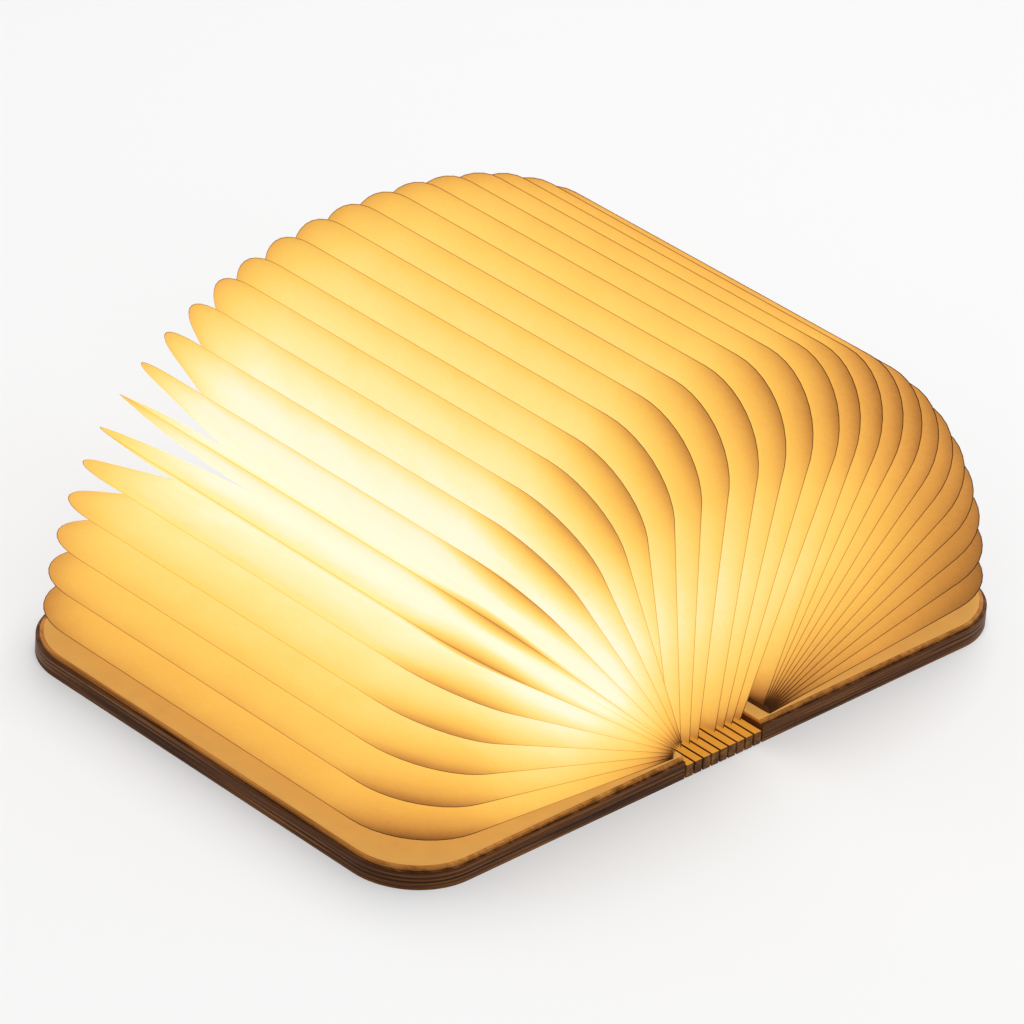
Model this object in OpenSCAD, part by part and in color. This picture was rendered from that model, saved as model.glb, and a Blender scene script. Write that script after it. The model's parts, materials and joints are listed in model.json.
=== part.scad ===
// Folding book lamp, lying open and flat.
// X runs across the covers, Y along the spine, Z up from the surface that it lies on.

/* [Covers] */
// Length of a cover along the spine
cover_len = 216; // [200:1:240]
// Width of a cover from the spine to its outer edge
cover_wid = 132; // [126:1:150]
// Thickness of a cover board
cover_th = 7; // [6.6:0.1:9]
// Radius of the two outer corners of a cover
cover_corner_r = 28; // [8:1:30]
// Thickness of the liner board that closes the bays in a cover
liner_th = 1.2; // [0.8:0.1:2]
// Step from the cover's edge in to the liner's edge
liner_inset = 1.2; // [0.5:0.1:3]
// Thickness of the card that the first paper pocket lies on
endpaper_th = 0.8; // [0.4:0.1:1.5]
// Step from the liner's edge in to the endpaper's edge
endpaper_inset = 1.2; // [0.5:0.1:3]

/* [Spine] */
// Number of slats in the spine
slat_count = 9; // [9:2:11]
// Width of one slat
slat_wid = 3.3; // [3.1:0.1:4]
// Thickness of one slat
slat_th = 5.2; // [4.6:0.1:5.4]
// Gap beside each slat, wide enough for the spine to fold both ways
slat_gap = 0.9; // [0.9:0.05:1.2]
// Thickness of the linen that runs through the slats and hinges them
linen_th = 0.3; // [0.2:0.05:0.4]
// Gap between the linen and each wall of its slot
linen_play = 0.05; // [0.03:0.01:0.1]
// Depth to which the linen is let into each cover
linen_tuck = 10; // [6:1:12]
// Distance from the end of a slat to the linen's end
linen_end_inset = 4; // [2:0.5:8]

/* [Paper] */
// Number of paper pockets, half of them on each side of the middle slat
leaf_count = 30; // [28:2:30]
// Number of pockets glued up in the stack on each cover
stack_count = 11; // [11:1:11]
// Distance from a cover's outer edge in to the first pocket's outer edge
leaf_side_inset = 0.5; // [0.5:0.5:10]
// Distance from each end of a cover in to the pockets' ends
leaf_end_inset = 1.5; // [1:0.5:12]
// Radius of a pocket's two outer corners
leaf_corner_r = 30; // [16:1:36]
// Distance by which both ends of a pocket that stands on a slat taper in towards its root
root_taper = 7.5; // [0:0.5:8]
// Thickness of the paper
paper_th = 0.15; // [0.1:0.01:0.15]
// Width of the glued seam that joins the two sheets of a pocket
seam_wid = 6; // [4:0.5:8]
// Distance between neighbouring pockets where they are glued in the stack
stack_pitch = 0.43; // [0.4:0.01:0.5]
// Distance from the first pocket's root to the spine's edge
stack_back = 2.5; // [2.5:0.5:5]
// Gap between the endpaper and the first pocket's root
first_gap = 0.3; // [0.2:0.05:0.5]
// Angle between a cover and its first pocket
first_angle = 4.6; // [1:0.1:6]
// Height of a middle pocket's root above its slat
root_lift = 0.5; // [0.45:0.05:1]

/* [Light] */
// Width of the light strip on the middle slat
strip_wid = 2.7; // [2.4:0.1:3]
// Thickness of the light strip's flexible board
strip_th = 0.25; // [0.2:0.05:0.3]
// Distance from each end of a cover in to the light strip's end
strip_inset = 13; // [10:1:20]
// Number of light chips on the strip
chip_count = 24; // [12:1:40]
// Length of one chip
chip_len = 3; // [2:0.1:3.5]
// Width of one chip
chip_wid = 1.6; // [1.2:0.1:2]
// Height of one chip
chip_th = 0.7; // [0.5:0.05:0.8]

/* [Power] */
// Length of the battery along the spine
battery_len = 62; // [50:1:70]
// Width of the battery
battery_wid = 42; // [30:1:50]
// Thickness of the battery
battery_th = 3.4; // [2.8:0.1:3.8]
// Distance from the spine's edge to the battery's middle
battery_from_spine = 72; // [60:1:76]
// Distance of the battery's middle from the cover's middle, towards the front
battery_forward = 20; // [0:1:30]
// Length of the control board towards the front
board_len = 30; // [26:1:36]
// Width of the control board
board_wid = 20; // [17:1:26]
// Thickness of the control board
board_th = 0.8; // [0.6:0.1:1]
// Distance from the battery's middle to the board's middle, towards the spine
board_shift = 8; // [0:1:8]
// Clearance round each piece that lies in a bay
bay_play = 0.3; // [0.2:0.05:0.5]
// Wood left under each bay
bay_floor = 1.6; // [1.2:0.1:2]

/* [Charge port] */
// Width of the charge port's shell
port_wid = 8.94; // [8.9:0.01:9]
// Height of the charge port's shell
port_ht = 3.2; // [3.1:0.01:3.3]
// Depth of the charge port's shell
port_depth = 7.3; // [6.5:0.1:8]
// Wall of the charge port's shell
port_wall = 0.3; // [0.25:0.01:0.35]
// Thickness of the tongue in the charge port
tongue_th = 0.7; // [0.6:0.05:0.8]
// Clearance between the port's shell and the wood
port_play = 0.15; // [0.1:0.05:0.3]

/* [Magnets] */
// Diameter of a magnet
magnet_d = 8; // [6:0.5:10]
// Thickness of a magnet
magnet_th = 2; // [1.5:0.1:3]
// Distance from the cover's outer edge to a magnet's middle
magnet_from_edge = 12; // [10:0.5:20]
// Distance of a holding magnet's middle from the cover's middle along the spine
magnet_y = 76; // [50:1:84]
// Length of the magnetic switch
switch_len = 6; // [4:0.5:8]
// Width of the magnetic switch
switch_wid = 4; // [3:0.5:6]
// Thickness of the magnetic switch
switch_th = 1.8; // [1.5:0.1:2.5]

/* [Wiring] */
// Side of a wire's square section
wire_th = 0.9; // [0.6:0.1:1]
// Width of the flat lead to the light strip
lead_wid = 5; // [4:0.5:6]
// Thickness of the flat lead
lead_th = 0.15; // [0.12:0.01:0.2]
// Distance from the control board's middle to the flat lead's middle, towards the front
lead_shift = 5.7; // [0:0.1:8]

/* [Hidden] */
half_leaves = leaf_count / 2;
eps = 0.01;
round_fn = 64;
walnut = [0.30, 0.18, 0.10];
warm_paper = [1.0, 0.80, 0.42];

// Spine
slat_pitch = slat_wid + slat_gap;
spine_wid = slat_count * slat_pitch + slat_gap;
hinge_z = slat_th / 2;
middle_slat = (slat_count + 1) / 2;
linen_len = cover_len - 2 * linen_end_inset;
function slat_x(k) = -spine_wid / 2 + slat_gap + slat_wid / 2 + (k - 1) * slat_pitch;

// Heights of the layers on a cover
endpaper_top = cover_th + liner_th + endpaper_th;

// A pocket's width from its root out, in the stack, and its length along the spine
leaf_wid = cover_wid - stack_back - leaf_side_inset;
leaf_len = cover_len - 2 * leaf_end_inset;
strip_len = cover_len - 2 * strip_inset;

// Paper directions: pocket 1 lies on the left cover and its mirror image on the right one. The
// outer edges are evenly spaced, so pockets with roots far apart turn less from one to the next
edge_radius = leaf_wid + slat_th;
middle_gap = -2 * slat_x(min(half_leaves - stack_count, middle_slat - 1));
function root_gaps(n) = n < stack_count
    ? n * stack_pitch
    : (stack_count - 1) * stack_pitch + slat_pitch / 2 + (n - stack_count) * slat_pitch;
edge_gap = (edge_radius * (180 - 2 * first_angle) * PI / 180
    + 2 * root_gaps(half_leaves - 1) + middle_gap) / (leaf_count - 1);
function leaf_angle(i) = i > half_leaves
    ? 180 - leaf_angle(leaf_count + 1 - i)
    : 180 - first_angle
        - (edge_gap * (i - 1) - root_gaps(i - 1)) / edge_radius * 180 / PI;
function angle_before(i) = (leaf_angle(i - 1) + leaf_angle(i)) / 2;
function dir(a) = [cos(a), sin(a)];
function side_of(a) = [sin(a), -cos(a)];
function cross2(a, b) = a[0] * b[1] - a[1] * b[0];

// Root of each pocket as [x, z]: the stack climbs square to the paper, the others stand on slats
stack_root = [-spine_wid / 2 - stack_back, endpaper_top + first_gap];
function stack_climb(i) = i <= 1
    ? [0, 0]
    : stack_climb(i - 1) + stack_pitch * side_of(angle_before(i));
function leaf_root(i) = i <= stack_count
    ? stack_root + stack_climb(i)
    : [slat_x(min(i - stack_count, middle_slat - 1)), slat_th + root_lift];

// Length that a pocket reaches back past the stack's roots when the book is shut
function root_back(i) = i <= 1
    ? 0
    : root_back(i - 1) - (leaf_root(i) - leaf_root(i - 1)) * dir(angle_before(i));
function leaf_reach(i) = leaf_wid + root_back(i);
function mouth_u(i) = i <= stack_count ? 2 : 0;

// Distance along pocket i from where its line meets pocket k's line to its own root
function apex_back(i, k) =
    let (d1 = dir(leaf_angle(i)), d2 = dir(leaf_angle(k)), gap = leaf_root_any(k) - leaf_root(i))
    -cross2(gap, d2) / cross2(d1, d2);
function leaf_root_any(k) = k > half_leaves
    ? let (r = leaf_root(leaf_count + 1 - k)) [-r[0], r[1]]
    : leaf_root(k);

// Bulge of a pocket's sheets
fill_share = 0.92;
fill_clear = 0.03;
least_half = 0.2;
edge_rise = 0.13;
edge_power = 0.92;
root_half = 0.3;
root_rise = 0.35;
function room(i, side, u) = side < 0 && i == 1
    ? first_gap + u * tan(first_angle)
    : (u + apex_back(i, i + side)) * tan(abs(leaf_angle(i) - leaf_angle(i + side)) / 2);
function soft_min(a, b, c) = pow(pow(a, -3) + pow(b, -3) + pow(c, -3), -1 / 3);
function half_bulge(i, side, u, e) = soft_min(
    max(fill_share * room(i, side, u) - fill_clear, least_half),
    edge_rise * pow(e, edge_power),
    root_half + root_rise * u);

// One ring of a pocket, e millimetres in from its seam, as [u, v, e] from mouth to mouth
front_share = [0, 0.1, 0.5, 1];
front_steps = len(front_share) - 1;
corner_steps = 3;
outer_steps = 2;
ring_last = 2 * front_steps + 2 * corner_steps + outer_steps;
outer_rings = [0, 5, 16, 38];
inner_rings = [seam_wid, 38];
function ring(i, e) =
    let (
        reach = leaf_reach(i),
        r = max(leaf_corner_r - e, leaf_corner_r / 4),
        cu = reach - e - r,
        cv = leaf_len / 2 - e - r,
        u0 = mouth_u(i),
        taper = i <= stack_count ? 0 : root_taper,
        front = [for (share = front_share)
            [u0 + (cu - u0) * share, taper * (1 - share) - cv - r, e]],
        corner = [for (j = [1 : corner_steps])
            let (a = 90 * j / corner_steps) [cu + r * sin(a), -cv - r * cos(a), e]],
        outer = [for (j = [1 : outer_steps - 1]) [reach - e, cv * (2 * j / outer_steps - 1), e]]
    )
    concat(
        front, corner, outer,
        [for (j = [corner_steps - 1 : -1 : 0]) [corner[j][0], -corner[j][1], e]],
        [for (j = [front_steps : -1 : 0]) [front[j][0], -front[j][1], e]]);
function ridge(i, e) =
    let (last = ring(i, e))
    [for (j = [0 : front_steps]) [last[j][0], 0, min(leaf_len / 2, leaf_reach(i) - last[j][0])]];
function lifted(i, side, points, inward) =
    [for (p = points) [p[0], p[1], side * (half_bulge(i, side, p[0], p[2]) - inward)]];
function flat_ring(points) = [for (p = points) [p[0], p[1], 0]];

// Points of one face of a pocket: its rings without the seam, then the line down its middle
function face_points(i, side, rings, inward) = concat(
    [for (k = [1 : len(rings) - 1]) each lifted(i, side, ring(i, rings[k]), inward)],
    lifted(i, side, ridge(i, rings[len(rings) - 1]), inward));

// Index of point j in ring k of a face, where ring 0 is the seam that both faces share
ring_size = ring_last + 1;
function at(seam, face, k, j) = k == 0 ? seam + j : face + (k - 1) * ring_size + j;
function ridge_j(j) = min(j, ring_last - j, front_steps);
function turned(tri, flip) = flip ? [tri[0], tri[2], tri[1]] : tri;
function face_tris(seam, face, count, flip) =
    let (mid = face + (count - 1) * ring_size)
    concat(
        [for (k = [0 : count - 2], j = [0 : ring_last - 1]) each [
            turned([at(seam, face, k, j), at(seam, face, k, j + 1),
                at(seam, face, k + 1, j)], flip),
            turned([at(seam, face, k, j + 1), at(seam, face, k + 1, j + 1),
                at(seam, face, k + 1, j)], flip)]],
        [for (j = [0 : ring_last - 1])
            let (a = at(seam, face, count - 1, j), b = at(seam, face, count - 1, j + 1),
                c = mid + ridge_j(j), d = mid + ridge_j(j + 1))
            each c == d
                ? [turned([a, b, c], flip)]
                : [turned([a, b, c], flip), turned([b, d, c], flip)]]);

// The mouth's rim, between the outer face's rings and the inner face's rings at one end
function rim_chain(seam, face, count, j) = concat(
    [for (k = [0 : count - 1]) at(seam, face, k, j)],
    [face + (count - 1) * ring_size]);
function rim_tris(outer, inner, flip) =
    let (shift = len(outer) - len(inner))
    concat(
        [for (k = [0 : shift - 1]) turned([outer[k], outer[k + 1], inner[0]], flip)],
        [for (k = [0 : len(inner) - 2]) each [
            turned([outer[k + shift], outer[k + shift + 1], inner[k]], flip),
            turned([outer[k + shift + 1], inner[k + 1], inner[k]], flip)]]);

// A pocket of two sheets, joined along three sides and open towards the spine
module pocket(i) {
    root = leaf_root(i);
    n_out = len(outer_rings);
    n_in = len(inner_rings);
    face_out = ring_size * (n_out - 1) + front_steps + 1;
    face_in = ring_size * (n_in - 1) + front_steps + 1;
    seam_out = 0;
    left_out = ring_size;
    right_out = left_out + face_out;
    seam_in = right_out + face_out;
    left_in = seam_in + ring_size;
    right_in = left_in + face_in;
    points = concat(
        flat_ring(ring(i, 0)),
        face_points(i, -1, outer_rings, 0),
        face_points(i, 1, outer_rings, 0),
        flat_ring(ring(i, seam_wid)),
        face_points(i, -1, inner_rings, paper_th),
        face_points(i, 1, inner_rings, paper_th));
    faces = concat(
        face_tris(seam_out, left_out, n_out, false),
        face_tris(seam_out, right_out, n_out, true),
        face_tris(seam_in, left_in, n_in, true),
        face_tris(seam_in, right_in, n_in, false),
        rim_tris(rim_chain(seam_out, left_out, n_out, 0),
            rim_chain(seam_in, left_in, n_in, 0), false),
        rim_tris(rim_chain(seam_out, left_out, n_out, ring_last),
            rim_chain(seam_in, left_in, n_in, ring_last), true),
        rim_tris(rim_chain(seam_out, right_out, n_out, 0),
            rim_chain(seam_in, right_in, n_in, 0), true),
        rim_tris(rim_chain(seam_out, right_out, n_out, ring_last),
            rim_chain(seam_in, right_in, n_in, ring_last), false));
    a = leaf_angle(i);
    placed = [for (p = points)
        let (q = root + p[0] * dir(a) + p[2] * side_of(a)) [q[0], p[1], q[1]]];
    color(warm_paper) polyhedron(placed, faces);
}
module leaf(i) {
    if (i <= half_leaves) pocket(i);
    else mirror([1, 0, 0]) pocket(leaf_count + 1 - i);
}

// Outline of a layer of the left cover, stepped in from its three outer sides
module cover_outline(inset) {
    r = cover_corner_r - inset / 2;
    len_in = cover_len - 2 * inset;
    wid_in = cover_wid - inset;
    translate([-spine_wid / 2, 0]) {
        translate([-wid_in + r, -len_in / 2]) square([wid_in - r, len_in]);
        translate([-wid_in, -len_in / 2 + r]) square([r + eps, len_in - 2 * r]);
        for (s = [-1, 1])
            translate([-wid_in + r, s * (len_in / 2 - r)]) circle(r, $fn = round_fn);
    }
}
module layer(inset, z, th) {
    translate([0, 0, z]) linear_extrude(th) cover_outline(inset);
}
module linen_slot(side) {
    depth = linen_tuck + linen_play;
    x = side < 0 ? -spine_wid / 2 - depth : spine_wid / 2 - eps;
    translate([x, -linen_len / 2 - linen_play, hinge_z - linen_th / 2 - linen_play])
        cube([depth + eps, linen_len + 2 * linen_play, linen_th + 2 * linen_play]);
}
// A box centred on x and y
module bay(x, y, size_x, size_y, z, depth) {
    translate([x - size_x / 2, y - size_y / 2, z]) cube([size_x, size_y, depth]);
}
// A flat oval along Y, centred on the origin
module oval(width, height, depth) {
    rotate([90, 0, 0]) linear_extrude(depth, center = true) {
        square([width - height, height], center = true);
        for (s = [-1, 1])
            translate([s * (width - height) / 2, 0]) circle(height / 2, $fn = round_fn);
    }
}

// Places of what lies inside the covers
magnet_x = spine_wid / 2 + cover_wid - magnet_from_edge;
magnet_z = cover_th - magnet_th - bay_play;
battery_x = -spine_wid / 2 - battery_from_spine;
board_x = battery_x + board_shift;
board_y = cover_len / 2 - port_depth - board_len / 2;
port_z = bay_floor + port_play + port_ht / 2;
board_z = port_z - tongue_th / 2 - board_th;
switch_z = cover_th - switch_th - bay_play;
groove_z = cover_th - wire_th - bay_play;
battery_top = bay_floor + battery_th;
battery_back = -battery_forward + battery_len / 2;
foot_in = 2;
switch_lead = 5;
switch_wire_y = board_y + board_len / 4;
lead_z = cover_th - lead_th - bay_play;
lead_drop = lead_th + bay_play;
board_edge = board_x + board_wid / 2;
lead_y = board_y - lead_shift;

// One magnet and its bore
module magnet(x, y, play) {
    translate([x, y, magnet_z])
        cylinder(h = magnet_th + (play > 0 ? bay_play + eps : 0),
            d = magnet_d + 2 * play, $fn = round_fn);
}

module left_cover() color(walnut) difference() {
    layer(0, 0, cover_th);
    linen_slot(-1);
    bay(battery_x, -battery_forward, battery_wid + 2 * bay_play, battery_len + 2 * bay_play,
        bay_floor, cover_th);
    bay(board_x, board_y - port_play, board_wid + 2 * bay_play, board_len + 2 * bay_play,
        board_z, cover_th);
    translate([board_x, cover_len / 2 - port_depth / 2, port_z])
        oval(port_wid + 2 * port_play, port_ht + 2 * port_play, port_depth + 2 * bay_play);
    bay(-magnet_x, 0, switch_wid + 2 * bay_play, switch_len + 2 * bay_play,
        switch_z, cover_th);
    for (s = [-1, 1]) magnet(-magnet_x, s * magnet_y, bay_play);
    wire_runs(bay_play, cover_th);
    lead_run(bay_play, cover_th);
}
module right_cover() color(walnut) difference() {
    mirror([1, 0, 0]) layer(0, 0, cover_th);
    linen_slot(1);
    for (s = [-1, 0, 1]) magnet(magnet_x, s * magnet_y, bay_play);
}
module left_liner() color([0.62, 0.42, 0.22]) layer(liner_inset, cover_th, liner_th);
module right_liner() mirror([1, 0, 0]) left_liner();
module left_endpaper() color([0.72, 0.50, 0.25])
    layer(liner_inset + endpaper_inset, cover_th + liner_th, endpaper_th);
module right_endpaper() mirror([1, 0, 0]) left_endpaper();

// A slat with the slot that the linen runs through, stopped short of its ends
module slat(k) color([0.42, 0.25, 0.12]) difference() {
    translate([slat_x(k) - slat_wid / 2, -cover_len / 2, 0]) cube([slat_wid, cover_len, slat_th]);
    translate([slat_x(k) - slat_wid / 2 - eps, -linen_len / 2 - linen_play,
        hinge_z - linen_th / 2 - linen_play])
        cube([slat_wid + 2 * eps, linen_len + 2 * linen_play, linen_th + 2 * linen_play]);
}
module hinge_linen() color([0.25, 0.20, 0.16])
    translate([-spine_wid / 2 - linen_tuck, -linen_len / 2, hinge_z - linen_th / 2])
        cube([spine_wid + 2 * linen_tuck, linen_len, linen_th]);

// The light strip lies on the middle slat, under the mouths of the pockets
module light_strip() color([0.95, 0.93, 0.85])
    bay(slat_x(middle_slat), 0, strip_wid, strip_len, slat_th, strip_th);
module light_chips() color([1.0, 0.9, 0.4])
    for (c = [0 : chip_count - 1])
        bay(slat_x(middle_slat), strip_len * ((c + 0.5) / chip_count - 0.5), chip_wid, chip_len,
            slat_th + strip_th, chip_th);

module battery() color([0.75, 0.76, 0.78])
    bay(battery_x, -battery_forward, battery_wid, battery_len, bay_floor, battery_th);
module control_board() color([0.10, 0.32, 0.18])
    bay(board_x, board_y, board_wid, board_len, board_z, board_th);
module board_parts() color([0.12, 0.12, 0.13]) {
    // Driver, charge controller, coil and two capacitors
    bay(board_x - board_wid / 4, board_y, 4, 4, board_z + board_th, 1);
    bay(board_x + board_wid / 4, board_y + 2, 3, 5, board_z + board_th, 1.2);
    bay(board_x, board_y - board_len / 4, 5, 5, board_z + board_th, 1.8);
    for (s = [-1, 1])
        bay(board_x + s * board_wid / 3, board_y - board_len / 3, 1.6, 3, board_z + board_th, 1.2);
}
module charge_port() color([0.78, 0.79, 0.80])
    translate([board_x, cover_len / 2 - port_depth / 2, port_z]) difference() {
        oval(port_wid, port_ht, port_depth);
        translate([0, port_wall, 0])
            oval(port_wid - 2 * port_wall, port_ht - 2 * port_wall, port_depth);
    }
module port_tongue() color([0.1, 0.1, 0.1])
    translate([board_x, cover_len / 2 - port_depth / 2, port_z])
        bay(0, port_wall / 2 - 0.5, port_wid - port_ht, port_depth - port_wall - 1,
            -tongue_th / 2, tongue_th);
module magnet_switch() color([0.12, 0.12, 0.13])
    bay(-magnet_x, 0, switch_wid, switch_len, switch_z, switch_th);
module left_magnets() color([0.7, 0.7, 0.72])
    for (s = [-1, 1]) magnet(-magnet_x, s * magnet_y, 0);
module right_magnets() color([0.7, 0.7, 0.72])
    for (s = [-1, 0, 1]) magnet(magnet_x, s * magnet_y, 0);

// Wires from the battery and the switch to the board, or with play the grooves that hold them
module wire_runs(play, depth) {
    th = wire_th + 2 * play;
    h = depth == 0 ? wire_th : depth;
    board_front = board_y - board_len / 2;
    for (s = [-1, 1])
        translate([board_x + s * board_wid / 4 - th / 2, battery_back - foot_in, groove_z])
            cube([th, board_front - battery_back + 2 * foot_in, h]);
    bay_x = -magnet_x + switch_wid / 2;
    translate([bay_x, -th / 2, groove_z]) cube([switch_lead + th / 2, th, h]);
    translate([bay_x + switch_lead - th / 2, -th / 2, groove_z])
        cube([th, switch_wire_y + th, h]);
    translate([bay_x + switch_lead - th / 2, switch_wire_y - th / 2, groove_z])
        cube([board_x - board_wid / 2 + foot_in - bay_x - switch_lead + th / 2, th, h]);
}
// The end of a wire, turned down to what it is soldered to
module wire_foot(x, y, bottom) {
    bay(x, y, wire_th, wire_th, bottom, groove_z + wire_th - bottom);
}
module inner_wires() color([0.65, 0.10, 0.08]) {
    wire_runs(0, 0);
    board_top = board_z + board_th;
    for (s = [-1, 1]) {
        x = board_x + s * board_wid / 4;
        wire_foot(x, battery_back - foot_in + wire_th / 2, battery_top);
        wire_foot(x, board_y - board_len / 2 + foot_in - wire_th / 2, board_top);
    }
    wire_foot(board_x - board_wid / 2 + foot_in - wire_th / 2, switch_wire_y, board_top);
}

// The flat lead leaves the board, drops to the slats at the cover's end and runs to the strip
module lead_run(play, depth) {
    h = depth == 0 ? lead_th : depth;
    translate([board_edge - foot_in, lead_y - lead_wid / 2 - play, lead_z])
        cube([-spine_wid / 2 - board_edge + foot_in + eps, lead_wid + 2 * play, h]);
}
module strip_lead() color([0.85, 0.62, 0.15]) {
    lead_run(0, 0);
    translate([board_edge - foot_in, lead_y - lead_wid / 2, board_z + board_th])
        cube([lead_th, lead_wid, lead_z + lead_th - board_z - board_th]);
    translate([-spine_wid / 2, lead_y - lead_wid / 2, slat_th])
        cube([lead_drop, lead_wid, lead_z + lead_th - slat_th]);
    translate([-spine_wid / 2, lead_y - lead_wid / 2, slat_th])
        cube([spine_wid / 2 - strip_wid / 2, lead_wid, lead_th]);
}

// Every node's name, with the slats and the pockets numbered from left to right
function two_digits(i) = i < 10 ? str("0", i) : str(i);
function slat_name(k) = str("slat_", k);
function leaf_name(i) = str("leaf_", two_digits(i));

left_cover();
right_cover();
left_liner();
right_liner();
left_endpaper();
right_endpaper();
hinge_linen();
light_strip();
light_chips();
battery();
control_board();
board_parts();
charge_port();
port_tongue();
magnet_switch();
left_magnets();
right_magnets();
inner_wires();
strip_lead();
for (k = [1 : slat_count]) slat(k);
for (i = [1 : leaf_count]) leaf(i);
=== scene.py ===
"""Folding book lamp: walnut covers on a slatted spine, with a lit fan of paper pockets."""

import json
import logging
import math
from dataclasses import dataclass, field
from enum import Enum

import bpy
from mathutils import Matrix, Vector

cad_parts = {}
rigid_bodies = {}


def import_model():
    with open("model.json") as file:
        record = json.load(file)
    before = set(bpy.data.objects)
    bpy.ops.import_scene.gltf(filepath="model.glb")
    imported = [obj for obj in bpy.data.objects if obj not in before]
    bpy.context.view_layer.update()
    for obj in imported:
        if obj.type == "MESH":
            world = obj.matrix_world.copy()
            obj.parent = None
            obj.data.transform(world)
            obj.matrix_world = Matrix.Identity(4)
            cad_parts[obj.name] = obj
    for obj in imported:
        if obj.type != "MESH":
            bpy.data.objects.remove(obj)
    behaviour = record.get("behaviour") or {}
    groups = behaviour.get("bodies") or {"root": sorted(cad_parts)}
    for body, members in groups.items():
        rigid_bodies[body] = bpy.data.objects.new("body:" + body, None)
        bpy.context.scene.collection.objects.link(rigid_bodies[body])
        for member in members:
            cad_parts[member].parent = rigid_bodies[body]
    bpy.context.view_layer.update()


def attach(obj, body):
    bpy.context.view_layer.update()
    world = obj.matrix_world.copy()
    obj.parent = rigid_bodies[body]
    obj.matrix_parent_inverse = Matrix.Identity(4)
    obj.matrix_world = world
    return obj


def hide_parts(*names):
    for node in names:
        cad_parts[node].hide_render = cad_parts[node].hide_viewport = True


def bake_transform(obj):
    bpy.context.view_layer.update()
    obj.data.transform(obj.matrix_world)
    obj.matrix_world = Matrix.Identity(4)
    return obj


LOG = logging.getLogger("book_lamp")
MM = 0.001
FLOOR = "floor"
Point = tuple[float, float, float]
Colour = tuple[float, float, float, float]
Socket = bpy.types.NodeSocket


def srgb(red: int, green: int, blue: int) -> Colour:
    """Turn an eight-bit screen colour into the linear colour that a shader takes.

    Args:
        red: Red, 0 to 255.
        green: Green, 0 to 255.
        blue: Blue, 0 to 255.

    Returns:
        The linear colour, with full alpha.
    """
    parts = [c / 255 for c in (red, green, blue)]
    lin = [c / 12.92 if c <= 0.04045 else ((c + 0.055) / 1.055) ** 2.4 for c in parts]
    return lin[0], lin[1], lin[2], 1.0


def grey(level: float) -> Colour:
    """Give the grey of a linear level, with full alpha."""
    return level, level, level, 1.0


class Half(Enum):
    """The side of the spine that a piece is on."""

    LEFT = -1
    RIGHT = 1

    @property
    def word(self) -> str:
        """The half's name, as it stands in the names of pieces and nodes."""
        return self.name.lower()


class Face(Enum):
    """The side of a pocket that a sheet is: towards its own cover, or towards the middle."""

    OUTER = -1
    INNER = 1


# --------------------------------------------------------------------------- shader tools


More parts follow.
